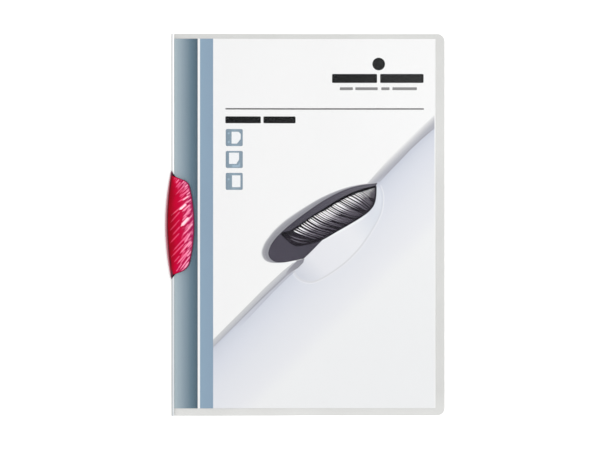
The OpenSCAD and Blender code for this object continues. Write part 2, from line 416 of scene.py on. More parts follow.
iconInk = ink("iconInk", [(0.0, "8497A6"), (0.5, "93A8B6"), (1.0, "8B9CAA")], (41.3, 0), (55.0, 0))
iconLight = ink("iconLightInk", [(0, "A9C0D2"), (1, "A3BACC")])
printed("iconTiles", [box(x, y, x + layout["icon"], y + layout["icon"], 1.2) for x, y in layout["icons"]], 2, iconInk)
printed("iconPages", [
    [(46.0, 74.8), (51.6, 74.8), (53.3, 76.5), (53.3, 80.6), (50.3, 84.3), (46.0, 84.3)],
    [(44.0, 91.6), (52.0, 91.6), (52.0, 97.2), (49.8, 100.6), (44.0, 100.6)],
    [(46.4, 109.8), (53.1, 109.8), (53.1, 119.3), (46.4, 119.3)],
], 3, paperWhite)
printed("iconMarks", [
    [(x + 0.8 * math.cos(math.radians(i * 30)), y + 0.9 * math.sin(math.radians(i * 30))) for i in range(12)]
    for x, y in ((43.7, 76.0), (43.7, 83.0), (43.6, 113.0))
] + [[(46.6, 101.6), (51.2, 101.6), (52.9, 99.0), (52.9, 102.3), (51.6, 103.0), (46.6, 103.0)]], 3, iconLight)

# The picture on the sheet: a folder's edge on the slant with a dark clip turned out over it
picture = {
    "edge": [(209.2, 71.7), (200.0, 79.5), (190.0, 88.5), (180.0, 99.5), (170.0, 109.5), (163.0, 117.0),
             (118.0, 163.0), (104.0, 177.5), (90.0, 190.5), (72.0, 208.0), (60.0, 219.5), (50.0, 229.5),
             (40.0, 239.5), (31.2, 248.5)],
    "upperShade": [(209.2, 61.2), (200.0, 69.5), (190.0, 79.0), (180.0, 88.8), (170.0, 99.0), (160.0, 110.5),
                   (153.0, 118.5)],
    "lowerShade": [(98.0, 178.0), (88.0, 186.0), (72.0, 200.5), (60.0, 212.8), (50.0, 222.8), (40.0, 232.8),
                   (31.2, 241.6)],
    "plate": [(97, 178.2), (90, 179.5), (84, 179.8), (80, 178.8), (77, 176.5), (75.6, 173), (76, 170), (77.5, 166),
              (80.5, 161.5), (85, 156.5), (92, 150.2), (100, 143.9), (109.5, 137), (119.4, 130.4), (129.4, 124.9),
              (139.5, 120.6), (149.7, 117.9), (158, 116.8), (163.4, 116.0)],
    "halo": [(97, 178.2), (88, 179.9), (80, 180.2), (75, 179.4), (71.5, 177), (69.9, 173), (70.2, 169.3), (72.3, 164.2),
             (75.3, 159.7), (79.7, 154.2), (87.2, 147.2), (95.7, 141), (105.8, 134.5), (116.3, 128.4), (127.3, 123.4),
             (138.4, 119.5), (149, 117.2), (157, 116.2), (163.4, 115.8)],
    "arm": [(86.5, 155.6), (92.5, 154.4), (100, 149.6), (110, 142.6), (120, 136.4), (130, 130.1), (140, 124.8),
            (150, 120.9), (158, 118.8), (162.2, 118.2), (162.6, 122), (162.2, 128), (161, 132.7), (159, 136.2),
            (155, 140.2), (148, 145), (140, 149.8), (130, 155.5), (120, 161.3), (112, 164.3), (104, 166.2),
            (98, 166.9), (94, 165), (90, 161.8), (86.5, 158.2)],
    "seat": [(164.5, 119), (166.6, 125), (167, 132), (165.4, 141), (160.6, 151), (151, 166), (140, 178), (130, 185.8),
             (120, 192), (112, 195.2), (104, 194.6), (98, 190.5), (96.5, 186)],
}
edge = picture["edge"]
printed("pictureField", [edge + [(31.2, height), (209.2, height)]], 1,
        ink("fieldInk", [(0.0, "CDD1DD"), (0.06, "D6DAE4"), (0.2, "DEE1EA"), (0.45, "E6E8EE"), (0.8, "ECEDF1"),
                         (1.0, "F2F3F4")], (70, 210), (112, 252.6)))
printed("pictureUpperShade", [picture["upperShade"] + edge[:6][::-1]], 2,
        ink("upperShadeInk", [(0.0, "F4F4F4"), (0.3, "D4D4D7"), (0.65, "B8B9C0"), (0.9, "AEAFB9"), (1.0, "C6C9D5")],
            (180, 88.8), (185.3, 94.2)))
printed("pictureLowerShade", [picture["lowerShade"] + edge[7:][::-1]], 2,
        ink("lowerShadeInk", [(0.0, "E2E3E4"), (0.12, "D0D1D3"), (0.6, "C4C5CA"), (0.88, "B9BAC2"), (1.0, "CDD0DB")],
            (50, 222.8), (53.4, 226.2)))
printed("pictureSeam", [
    ribbon([(97.5, 182.6), (90, 190.0), (80, 199.6), (70, 208.9), (60, 218.9), (50, 229.0), (40, 239.0), (31.2, 247.8)],
           [1.7, 1.3, 1.2, 1.1, 1.0, 0.9, 0.8, 0.7]),
    ribbon([(164.5, 115.4), (170, 109.2), (180, 98.9), (190, 88.3), (200, 79.1), (209.2, 71.3)],
           [0.5, 0.7, 0.8, 0.9, 0.9, 0.9])], 3,
        ink("seamInk", [(0, "A6A6AE"), (0.5, "ABACB4"), (1, "BBBCC5")], (97, 183), (31, 248)))
printed("pictureSeamBand", [[(96, 185.2), (90, 190.6), (80, 200.2), (70, 209.5), (60, 219.5), (50, 229.6),
                             (50, 231.6), (60, 223.2), (70, 212.6), (80, 201.9), (90, 192.3), (96.4, 187.2)]], 2,
        ink("seamBandInk", [(0, "C2C4CE"), (1, "CDD0DB")], (96, 186), (50, 231)))
printed("pictureSeamLine", [ribbon([(97, 186.8), (90, 192.7), (80, 202.4), (70, 213.0), (60, 223.6), (52, 231.4)],
                                   [0.4, 0.7, 0.7, 0.6, 0.5, 0.2])], 4,
        ink("seamLineInk", [(0, "B4B6C2"), (1, "C4C7D4")], (97, 187), (52, 231)))
printed("pictureShadowEnd", [[(98.6, 178.4), (104.6, 176.8), (103.6, 180.0), (99.5, 184.2), (94.6, 187.2),
                              (91.4, 189.8), (89.6, 188.6), (92, 185.2), (95.6, 181.4)]], 5,
        ink("shadowEndInk", [(0, "8E8E97"), (0.6, "97979F"), (1, "ACACB4")], (101, 177), (91, 190)))
seat = curve(picture["seat"], closed=False, steps=5)
under = [(98, 183.5), (104, 177.2), (111, 170), (118.5, 162), (130, 155.4), (140, 149.7), (148, 144.9), (155, 140),
         (159, 136), (161, 132.5), (162, 128), (162.4, 122), (163, 119)]
printed("pictureSeatFill", [seat + under], 2,
        ink("seatInk", [(0, "D4D7E0"), (0.2, "EAEBF0"), (0.6, "EEEFF3"), (0.85, "DFE3EB"), (1, "E2E6EE")],
            (97, 187), (166, 128)))
alongSeat = np.linspace(0, 1, len(seat))
printed("pictureSeatLine", [ribbon(seat, np.interp(alongSeat, [0, 0.5, 1], [0.9, 2.2, 0.8]))], 3,
        ink("seatLineInk", [(0, "DADEE7"), (0.5, "DFE0E4"), (1, "DCDDE2")], (165, 122), (100, 193)))
rim = [tuple(q) for q in np.array(seat) + (np.array(seat) - (125, 158)) * 0.034]
printed("pictureSeatRim", [ribbon(rim, np.interp(alongSeat, [0, 0.5, 1], [0.6, 0.8, 0.4]))], 4,
        ink("seatRimInk", [(0, "F1F2F6"), (1, "EEEFF3")]))
printed("pictureGleam", [
    ribbon([(119.5, 162.6), (130, 156.9), (140, 151.2), (150, 145.3), (156, 141)], [0.3, 1.2, 1.4, 1.2, 0.3]),
    ribbon([(82, 180.5), (88, 180.9), (95, 179.8), (99, 178.6)], [0.3, 1.1, 1.1, 0.3])], 3, paperWhite)
plate, halo = np.array(picture["plate"]), np.array(picture["halo"])
# the shadow round the plate: each layer darker and closer to it than the one below
for name, level, share, tone in (("Faint", 3, 1.0, "DEDEE0"), ("Soft", 4, 0.9, "C2C2C6"), ("Deep", 5, 0.78, "A4A4AA"),
                                 ("Core", 6, 0.5, "98989F")):
    line = curve([tuple(q) for q in plate + (halo - plate) * share], closed=False, steps=4)
    printed("pictureShadow" + name, [line + [(150, 126), (120, 140), (100, 160)]], level,
            ink("shadow%sInk" % name, [(0, tone), (0.75, tone), (1, tone)]))
foot = [(158, 124), (140, 140), (118.8, 162), (113, 168), (108, 173), (104, 176.8)]
printed("picturePlateEdge", [curve(picture["plate"], closed=False, steps=4) + foot], 7,
        ink("plateEdgeInk", [(0, "38343F"), (1, "3E3A45")]))
shrink = plate + np.array([(0, -0.5), (0, -0.6), (0.1, -0.6), (0.4, -0.5), (0.6, -0.2), (0.7, 0), (0.7, 0.1),
                           (0.6, 0.3), (0.5, 0.4), (0.4, 0.5), (0.4, 0.5), (0.3, 0.6), (0.3, 0.6), (0.3, 0.6),
                           (0.2, 0.6), (0.1, 0.6), (0, 0.5), (0, 0.4), (-1.2, 0.5)])
foot = [(157, 124), (140, 139), (118.2, 161.6), (112.4, 167.4), (107.4, 172.4), (103.4, 176.2)]
printed("picturePlate", [curve([tuple(q) for q in shrink], closed=False, steps=4) + foot], 8,
        ink("plateInk", [(0, "4B4753"), (0.3, "46434E"), (0.7, "57545F"), (1, "605D67")], (84, 172), (145, 122)))
arm = curve(picture["arm"], steps=4)
printed("pictureArm", [arm], 9, ink("armInk", [(0, "05030A"), (0.15, "0C0811"), (0.5, "241E29"), (1, "19141D")],
                                    (120, 136.4), (128.5, 152.4)))


def inArm(x, y):
    hit = False
    for (ax, ay), (bx, by) in zip(arm, arm[1:] + arm[:1]):
        if (ay > y) != (by > y) and x < (bx - ax) * (y - ay) / (by - ay) + ax:
            hit = not hit
    return hit


# ribs of the pictured clip: each starts under its upper edge and bends across it
rng = np.random.default_rng(5)
armRibs = {"count": 42, "startX": [94.6, 98.5, 104, 113, 120, 130, 140, 150, 160.6],
           "startY": [156.0, 152.5, 148.1, 142.0, 138.4, 132.4, 127.1, 122.9, 120.0],
           "places": [0, 0.15, 0.5, 0.68, 0.85, 1], "first": [24, 36, 32, 27, 32, 36],
           "last": [18, 14, 14, 34, 58, 50], "reach": [11, 15, 16, 15, 14, 7], "steps": 24}
strokes, soft = [], []
for i in range(armRibs["count"]):
    t = ((i + 0.5 + rng.uniform(-0.2, 0.2)) / armRibs["count"]) ** 0.88
    x = armRibs["startX"][0] + t * (armRibs["startX"][-1] - armRibs["startX"][0])
    y = np.interp(x, armRibs["startX"], armRibs["startY"]) + rng.normal(0, 0.2)
    first, last, reach = [np.interp(t, armRibs["places"], armRibs[key]) for key in ("first", "last", "reach")]
    reach, steps, line = reach * 1.7, armRibs["steps"], []
    for k in range(steps + 1):
        line.append((x, y))
        turn = math.radians(first + (last - first) * min(1, 1.6 * k / steps) ** 1.2)
        x, y = x + math.cos(turn) * reach / steps, y + math.sin(turn) * reach / steps
        if not inArm(x + 0.5, y + 0.5):
            break
    if len(line) < 4:
        continue
    wide = np.interp(t, [0, 0.5, 0.75, 1], [1.15, 1.05, 0.75, 0.55]) * rng.uniform(0.5, 1.35)
    upper = line[:max(4, int(len(line) * rng.uniform(0.5, 0.75)))]
    taper = np.interp(np.linspace(0, 1, len(upper)), [0, 0.12, 0.5, 1], [0.5, 1, 0.8, 0.2])
    strokes.append(ribbon(upper, wide * taper))
    lower = line[int(len(line) * rng.uniform(0.3, 0.5)):]
    if len(lower) > 4 and rng.random() < 0.75:
        taper = np.interp(np.linspace(0, 1, len(lower)), [0, 0.3, 0.8, 1], [0.2, 1, 0.9, 0.2])
        soft.append(ribbon(lower, wide * taper))
for y in (158.8, 161.2):
    soft.append(ribbon([(93.5, y - 0.3), (98, y + 1.6), (103, y + 2.8), (108, y + 3)], [0.2, 0.9, 0.8, 0.2]))
across = ((120, 138.6), (128, 153.6))
printed("pictureSoftRibs", soft, 10,
        ink("softRibInk", [(0, "A8A6AE"), (0.4, "76727C"), (0.8, "57525D"), (1, "4A4550")], *across))
printed("pictureRibs", strokes, 11,
        ink("ribInk", [(0, "FFFFFF"), (0.34, "EEEDF2"), (0.55, "A09CA6"), (0.8, "6C6772"), (1, "554F5B")], *across))
print("printed sheet done")


jawShape = {"slope": 21.5, "topCorner": 8, "lowCorner": 11, "sideRadius": 133, "rows": 430, "columns": 108,
            "round": 1.1, "crownU": 6.5, "crownRadius": 26, "longRadius": 270, "wall": 1.3, "easedBy": 0.4}
tilt = math.radians(jawShape["slope"])


def halfEdge(reach, end, corner, steps=16):
    side = np.array([reach - jawShape["sideRadius"], 0.0])
    normal, along = np.array([math.sin(tilt), math.cos(tilt)]), np.array([math.cos(tilt), -math.sin(tilt)])
    q = normal * (end - corner) - side
    t = -q @ along + math.sqrt((q @ along) ** 2 - q @ q + (jawShape["sideRadius"] - corner) ** 2)
    middle = side + q + along * t
    stop = math.atan2(middle[1], middle[0] - side[0])
    points = [(0.0, end / math.cos(tilt))]
    for i in range(steps + 1):
        a = math.pi / 2 - tilt + (stop - math.pi / 2 + tilt) * i / steps
        points.append((middle[0] + corner * math.cos(a), middle[1] + corner * math.sin(a)))
    for i in range(1, 25):
        a = stop * (1 - i / 24)
        points.append((side[0] + jawShape["sideRadius"] * math.cos(a), jawShape["sideRadius"] * math.sin(a)))
    return np.array(points)


# the D of a jaw in millimetres: u from the spine fold, v along it from the clip's middle
def jawEdges(reach, top, low, out, inset=0.0):
    upper = halfEdge(reach - inset, top * math.cos(tilt) - inset, jawShape["topCorner"])
    lower = halfEdge(reach - inset, low * math.cos(tilt) - inset, jawShape["lowCorner"]) * [1, -1]
    right = np.vstack([upper, lower[::-1][1:]])
    tipTop, tipLow = right[0][1], -right[-1][1]
    half, middle, out = (tipTop + tipLow) / 2, (tipTop - tipLow) / 2, out - inset
    radius = (half * half + out * out) / (2 * out)
    a = math.asin(half / radius) * np.linspace(1, -1, 61)
    left = np.stack([radius - out - radius * np.cos(a), middle + radius * np.sin(a)], 1)
    return left, right


def edgeDistance(points, line):
    best = np.full(len(points), 1e9)
    for a, b in zip(line[:-1], line[1:]):
        d = b - a
        if d @ d < 1e-12:
            continue
        t = np.clip((points - a) @ d / (d @ d), 0, 1)
        best = np.minimum(best, np.linalg.norm(points - a - t[:, None] * d, axis=1))
    return best


def smooth(x, low, high):
    t = np.clip((x - low) / (high - low), 0, 1)
    return t * t * (3 - 2 * t)


def crownZ(u, v, lower=0.0):
    ring = jawShape["longRadius"] - jawShape["crownRadius"]
    across = np.sqrt(np.maximum((jawShape["crownRadius"] - lower) ** 2 - (u - jawShape["crownU"]) ** 2, 0))
    return jawHigh.z / mm - jawShape["longRadius"] + np.sqrt((ring + across) ** 2 - v ** 2)


def jawShell():
    left, right = jawEdges(jawHigh.x / mm - spineX / mm, jawHigh.y / mm, -jawLow.y / mm, (spineX - jawLow.x) / mm)
    # set in from the rim, most at the lower end
    setIn = np.interp(left[:, 1], [-40, -30, 0, 30, 40], [1.7, 1.1, 0.5, 0.5, 0.7])
    left = np.column_stack([left[:, 0] + setIn, left[:, 1]])
    left[0, 1], left[-1, 1] = right[0, 1] - 0.3, right[-1, 1] + 0.8
    right = right.copy()
    right[0], right[-1] = left[0], left[-1]
    rows, columns = jawShape["rows"], jawShape["columns"]
    a = np.linspace(0, math.pi, rows + 1)
    v = (right[0][1] + right[-1][1]) / 2 + (right[0][1] - right[-1][1]) / 2 * np.cos(a)
    v = 0.55 * v + 0.45 * np.linspace(v[0], v[-1], rows + 1)
    uLeft = np.interp(v, left[::-1, 1], left[::-1, 0])
    uRight = np.interp(v, right[::-1, 1], right[::-1, 0])
    share = 0.5 - 0.5 * np.cos(np.linspace(0, math.pi, columns + 1))
    share = 0.45 * share + 0.55 * np.linspace(0, 1, columns + 1)
    u = uLeft[:, None] * (1 - share) + uRight[:, None] * share
    v = np.repeat(v[:, None], columns + 1, 1)
    flat = np.stack([u.ravel(), v.ravel()], 1)
    near = edgeDistance(flat, np.vstack([left, right[::-1]]))
    base = jawLow.z / mm
    # eased down at the inner edge, where the opened cover passes over the ribs
    rise = np.maximum(crownZ(flat[:, 0], flat[:, 1]) - base - jawShape["easedBy"] * smooth(flat[:, 0], 9, 16), 0.12)
    t = np.clip(near / jawShape["round"], 0, 1)
    z = base + rise * (0.35 + 0.65 * np.sqrt(1 - (1 - t) ** 2))
    top = np.stack([spineX + flat[:, 0] * mm, flat[:, 1] * mm, z * mm], 1)

    # underside: flat rim and a hollow behind it, on every fourth row and column
    m = columns + 1
    faces = []
    for i in range(rows):
        for j in range(columns):
            k = i * m + j
            faces.append((k, k + m, k + m + 1, k + 1))
    hollow = smooth(near, 1.2, 2.0) * smooth(flat[:, 0], 0.8, 1.6)
    underZ = base + hollow * np.maximum(crownZ(flat[:, 0], flat[:, 1], jawShape["wall"]) - base - 0.9, 0)
    under = np.stack([top[:, 0], top[:, 1], underZ * mm], 1)
    keepI = sorted(set(list(range(0, rows, 4)) + [rows]))
    keepJ = sorted(set(list(range(0, columns, 4)) + [columns]))
    index = {}
    points = [tuple(p) for p in top]
    for i in range(rows + 1):
        for j in range(m):
            rim = i in (0, rows) or j in (0, columns)
            if rim or (i in keepI and j in keepJ):
                index[(i, j)] = len(points)
                points.append(tuple(under[i * m + j]))
    for a0, a1 in zip(keepI[:-1], keepI[1:]):
        for b0, b1 in zip(keepJ[:-1], keepJ[1:]):
            ring = [(a0, j) for j in range(b0, b1)] if a0 == 0 else [(a0, b0)]
            ring += [(i, b1) for i in range(a0, a1)] if b1 == columns else [(a0, b1)]
            ring += [(a1, j) for j in range(b1, b0, -1)] if a1 == rows else [(a1, b1)]
            ring += [(i, b0) for i in range(a1, a0, -1)] if b0 == 0 else [(a1, b0)]
            faces.append([index[q] for q in ring])
    border = ([(0, j) for j in range(columns)] + [(i, columns) for i in range(rows)]
              + [(rows, j) for j in range(columns, 0, -1)] + [(i, 0) for i in range(rows, 0, -1)])
    for (i, j), (k, l) in zip(border, border[1:] + border[:1]):
        faces.append((i * m + j, k * m + l, index[(k, l)], index[(i, j)]))
    return points, faces, flat, near


# Moulded styrene plastic, translucent red: thin pale ribs with deep red hollows between them (painted light on the
# crests and painted shade in the hollows over the plastic's red), some ribs with a painted white glint, a painted shade
# line along the edge
def ribbedRed():
    look = {"roughness": 0.3, "shine": 0.04}
    material, tree, shader = newMaterial("ribbedRedPlastic")
    rib = addNode(tree, "ShaderNodeAttribute", attribute_name="rib")
    side = addNode(tree, "ShaderNodeAttribute", attribute_name="paleSide")
    glint = addNode(tree, "ShaderNodeAttribute", attribute_name="glint")
    rim = addNode(tree, "ShaderNodeAttribute", attribute_name="edgeShade")
    place = addNode(tree, "ShaderNodeTexCoord")
    cloud = noiseValue(tree, place.outputs["Object"], 220.0, 3.0)
    deep = rampColour(tree, side.outputs["Fac"], [(0.0, "8C0619"), (0.18, "98041C"), (0.36, "B8022E"),
                                                  (0.55, "BC0239"), (0.78, "A60A46"), (1.0, "9A2656")])
    pale = rampColour(tree, side.outputs["Fac"], [(0.0, "B82038"), (0.3, "E24468"), (0.55, "F05C8C"),
                                                  (0.8, "FA86AC"), (1.0, "E47CA4")])
    # the plastic's red with painted light on the pale rib crests and painted shade in the deep red hollows
    body = addNode(tree, "ShaderNodeMix", {"Factor": rib.outputs["Fac"]}, data_type="RGBA")
    tree.links.new(deep, body.inputs["A"])
    tree.links.new(pale, body.inputs["B"])
    streak = addNode(tree, "ShaderNodeAttribute", attribute_name="streak")
    broken = addNode(tree, "ShaderNodeMapRange", {"Value": streak.outputs["Fac"], "From Min": 0.36, "From Max": 0.56,
                                                  "To Min": 0.45, "To Max": 1.0})
    shine = addNode(tree, "ShaderNodeMath", {0: glint.outputs["Fac"], 1: broken.outputs["Result"]},
                    operation="MULTIPLY")
    # painted white glint on the marked ribs, broken up by the streaks
    lit = addNode(tree, "ShaderNodeMix", {"Factor": shine.outputs["Value"], "B": linear("FCE0E5")}, data_type="RGBA")
    tree.links.new(body.outputs["Result"], lit.inputs["A"])
    tone = addNode(tree, "ShaderNodeMapRange", {"Value": cloud, "From Min": 0.3, "From Max": 0.7,
                                                "To Min": 0.9, "To Max": 1.08})
    shaded = dimmed(tree, lit.outputs["Result"], tone.outputs["Result"])
    # painted shade along the jaw's edge
    edge = addNode(tree, "ShaderNodeMix", {"Factor": rim.outputs["Fac"], "B": linear("5E0A1E")}, data_type="RGBA")
    tree.links.new(shaded, edge.inputs["A"])
    plug(tree, shader, {"Base Color": edge.outputs["Result"], "Roughness": look["roughness"],
                        "Specular IOR Level": look["shine"]})
    return material


# The same plastic, smooth and thick: deep red with a faint flow pattern
def smoothRed(name, deep, rim):
    material, tree, shader = newMaterial(name)
    place = addNode(tree, "ShaderNodeTexCoord")
    cloud = noiseValue(tree, place.outputs["Object"], 120.0, 3.0)
    fine = noiseValue(tree, place.outputs["Object"], 2500.0, 1.0)
    tint = rampColour(tree, cloud, [(0.3, deep), (0.7, rim)])
    bump = addNode(tree, "ShaderNodeBump", {"Height": fine, "Strength": 0.08, "Distance": 0.02 * mm})
    plug(tree, shader, {"Base Color": tint, "Normal": bump.outputs["Normal"], "Roughness": 0.3,
                        "Specular IOR Level": 0.15})
    return material


ribRule = {"Rib height": 0.32, "Fine spacing": 0.78, "Fine length": 6.0, "Fine share": 0.6, "Lean": 1.2, "Seed": 3.7}


# raises the ribs marked on the shell and adds the fine ones between them
def ribTree(material):
    tree = bpy.data.node_groups.new("jawRibs", "GeometryNodeTree")
    face = tree.interface
    face.new_socket("Geometry", in_out="INPUT", socket_type="NodeSocketGeometry")
    for name, value in ribRule.items():
        face.new_socket(name, in_out="INPUT", socket_type="NodeSocketFloat").default_value = value
    face.new_socket("Geometry", in_out="OUTPUT", socket_type="NodeSocketGeometry")
    given = addNode(tree, "NodeGroupInput").outputs
    place = addNode(tree, "GeometryNodeInputPosition")
    local = addNode(tree, "ShaderNodeVectorMath", {0: place.outputs[0], 1: (spineX, 0, 0)}, operation="SUBTRACT")
    inMm = addNode(tree, "ShaderNodeVectorMath", {0: local.outputs[0], "Scale": 1000.0}, operation="SCALE")
    apart = addNode(tree, "ShaderNodeSeparateXYZ", {0: inMm.outputs[0]}).outputs

    def calc(operation, *values):
        return addNode(tree, "ShaderNodeMath", dict(enumerate(values)), operation=operation).outputs[0]

    def held(name):
        return addNode(tree, "GeometryNodeInputNamedAttribute", {"Name": name}, data_type="FLOAT").outputs[0]

    u, v = apart["X"], apart["Y"]
    across = calc("SUBTRACT", calc("MULTIPLY", v, 0.66), calc("MULTIPLY", u, calc("MULTIPLY", given["Lean"], 0.66)))
    along = calc("ADD", calc("MULTIPLY", u, 0.66), calc("MULTIPLY", v, 0.75))
    grain = addNode(tree, "ShaderNodeCombineXYZ", {"X": calc("DIVIDE", across, given["Fine spacing"]),
                                                   "Y": calc("DIVIDE", along, given["Fine length"]),
                                                   "Z": given["Seed"]})
    streak = addNode(tree, "ShaderNodeTexNoise", {"Vector": grain.outputs[0], "Scale": 1.0, "Detail": 0.5})
    sharp = addNode(tree, "ShaderNodeMapRange", {"Value": streak.outputs["Fac"], "From Min": 0.49, "From Max": 0.6},
                    interpolation_type="SMOOTHSTEP")
    fine = calc("MULTIPLY", calc("MULTIPLY", sharp.outputs["Result"], held("fineZone")), given["Fine share"])
    rib = calc("MAXIMUM", held("stroke"), fine)
    lift = calc("MULTIPLY", calc("MULTIPLY", rib, given["Rib height"]), mm)
    offset = addNode(tree, "ShaderNodeCombineXYZ", {"Z": lift})
    raised = addNode(tree, "GeometryNodeSetPosition", {"Geometry": given["Geometry"], "Offset": offset.outputs[0]})
    marked = addNode(tree, "GeometryNodeStoreNamedAttribute",
                     {"Geometry": raised.outputs[0], "Name": "rib", "Value": rib}, data_type="FLOAT", domain="POINT")
    streaked = addNode(tree, "GeometryNodeStoreNamedAttribute", {"Geometry": marked.outputs[0], "Name": "streak",
                                                                 "Value": streak.outputs["Fac"]},
                       data_type="FLOAT", domain="POINT")
    whole = addNode(tree, "GeometryNodeRealizeInstances", {"Geometry": streaked.outputs[0]})
    dressed = addNode(tree, "GeometryNodeSetMaterial", {"Geometry": whole.outputs[0], "Material": material})
    addNode(tree, "NodeGroupOutput", {"Geometry": dressed.outputs[0]})
    return tree


# turns the node result into a plain mesh
def baked(piece, tree, values):
    modifier = piece.modifiers.new("ribs", "NODES")
    modifier.node_group = tree
    for socket in tree.interface.items_tree:
        if socket.in_out == "INPUT" and socket.name in values:
            modifier[socket.identifier] = values[socket.name]
    bpy.context.view_layer.update()
    evaluated = piece.evaluated_get(bpy.context.evaluated_depsgraph_get())
    mesh = bpy.data.meshes.new_from_object(evaluated)
    piece.modifiers.remove(modifier)
    piece.data = mesh
    return piece


# long ribs: start u, v, end u, v, width, paleness, painted glint
longRibs = [
    (3.9, 29.8, 7.9, 34.4, 0.9, 0.50, 0.00), (3.9, 24.0, 11.3, 31.8, 0.9, 0.60, 0.00),
    (7.1, 22.6, 14.8, 27.8, 1.0, 0.70, 0.00), (5.6, 18.0, 14.8, 23.5, 0.9, 0.70, 0.00),
    (9.6, 19.5, 14.2, 22.9, 1.0, 0.90, 0.70), (0.5, 7.4, 14.8, 19.8, 0.9, 0.70, 0.10),
    (7.1, 12.0, 12.5, 16.6, 2.0, 1.00, 1.00), (-0.1, 1.7, 7.6, 10.6, 0.9, 0.60, 0.00),
    (9.1, 10.3, 15.7, 16.3, 1.2, 0.90, 0.20), (10.0, 6.0, 16.5, 12.9, 1.1, 0.90, 0.10),
    (3.3, -0.3, 7.2, 4.0, 0.7, 0.45, 0.00), (8.4, -1.1, 14.8, 5.7, 2.6, 1.00, 0.95),
    (-0.7, -4.9, 5.1, 1.5, 0.9, 0.50, 0.00), (1.6, -8.2, 7.7, -1.3, 1.0, 0.60, 0.00),
    (-0.4, -14.7, 7.1, -6.7, 0.9, 0.70, 0.00), (1.9, -21.0, 12.5, -9.3, 1.0, 0.70, 0.00),
    (0.5, -25.9, 10.8, -15.0, 1.0, 0.70, 0.00), (5.1, -31.4, 15.3, -19.6, 1.3, 0.85, 0.10),
    (2.7, -29.9, 7.3, -24.8, 0.8, 0.50, 0.00), (7.6, -31.4, 13.7, -23.0, 1.0, 0.70, 0.00),
    (5.9, -35.1, 8.8, -31.0, 0.9, 0.60, 0.00), (7.9, -35.6, 15.7, -24.8, 1.0, 0.80, 0.10),
    (10.8, -35.1, 15.1, -29.3, 1.3, 0.90, 0.25), (10.8, -15.0, 15.7, -6.9, 1.2, 0.85, 0.10),
    (7.3, -23.2, 16.5, -12.7, 1.3, 0.85, 0.15), (10.0, -7.9, 16.1, -1.5, 1.1, 0.85, 0.10),
    (12.2, 1.7, 17.2, 7.8, 1.1, 0.80, 0.10), (9.3, 3.3, 12.8, 7.3, 1.0, 0.80, 0.15),
    (13.7, -3.6, 17.5, 0.9, 1.4, 0.90, 0.35), (4.2, -37.5, 6.3, -34.9, 0.8, 0.50, 0.00),
    (8.4, -37.9, 10.4, -35.5, 1.0, 0.60, 0.00), (13.0, -25.6, 16.7, -20.6, 1.3, 0.85, 0.20),
    (13.5, -18.3, 17.2, -13.5, 1.0, 0.80, 0.10), (8.8, 25.8, 13.8, 30.2, 0.7, 0.60, 0.00),
    (11.1, 30.0, 13.8, 32.4, 1.0, 0.80, 0.20), (12.5, 23.7, 15.9, 26.6, 1.0, 0.80, 0.20),
    (12.8, 17.5, 16.7, 20.7, 1.0, 0.80, 0.10), (4.2, 33.5, 6.7, 36.6, 1.0, 0.60, 0.10),
    (9.0, 33.0, 10.9, 35.0, 0.9, 0.70, 0.10),
]


# height of the long ribs and their painted white glint, at points of the shell
def ribMarks(flat):
    stroke, glint = np.zeros(len(flat)), np.zeros(len(flat))
    for u0, v0, u1, v1, wide, share, white in longRibs:
        a, d = np.array([u0, v0]), np.array([u1 - u0, v1 - v0])
        t = np.clip((flat - a) @ d / (d @ d), 0, 1)
        off = np.linalg.norm(flat - a - t[:, None] * d, axis=1)
        taper = np.clip(np.minimum(t / 0.2, (1 - t) / 0.12), 0.25, 1)
        mark = 1 - smooth(off / (wide * taper), 0.25, 0.75)
        stroke = np.maximum(stroke, mark * (0.45 + 0.55 * share))
        glint = np.maximum(glint, (1 - smooth(off / (wide * taper), 0.15, 0.6)) * white)
    return stroke, glint


jawRed = ribbedRed()
points, faces, flat, near = jawShell()
jaw = meshPiece("ribbedJaw", points, faces, jawRed)
inside = smooth(near, 0.3, 1.1)
stroke, glint = ribMarks(flat)
fineStart = np.interp(flat[:, 1], [-40, -30, -15, -5, 0, 8, 20, 30, 40], [6, 7, 8, 8, 9.5, 9, 7.5, 4, 0])
atEnds = smooth(np.abs(flat[:, 1]), 24, 36) * smooth(flat[:, 0], 1, 6)
marks = {
    "stroke": stroke * inside,
    "glint": glint * inside,
    "fineZone": smooth(flat[:, 0], fineStart, fineStart + 2.5) * inside,
    "paleSide": np.clip((flat[:, 0] + 3.6) / 22 + 0.2 * atEnds, 0, 1),
    # painted shade along the jaw's edge, wider on the spine side
    "edgeShade": np.where(flat[:, 0] < 0.5, (1 - smooth(near, 0.5, 1.5)) * 0.85, (1 - smooth(near, 0.1, 0.6)) * 0.7),
}
for label, values in marks.items():
    attribute = jaw.data.attributes.new(label, "FLOAT", "POINT")
    full = np.zeros(len(jaw.data.vertices), np.float32)
    full[:len(values)] = values
    attribute.data.foreach_set("value", full)
baked(jaw, ribTree(jawRed), ribRule)
jaw.data.shade_smooth()
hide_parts("front_jaw")
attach(jaw, "clip")


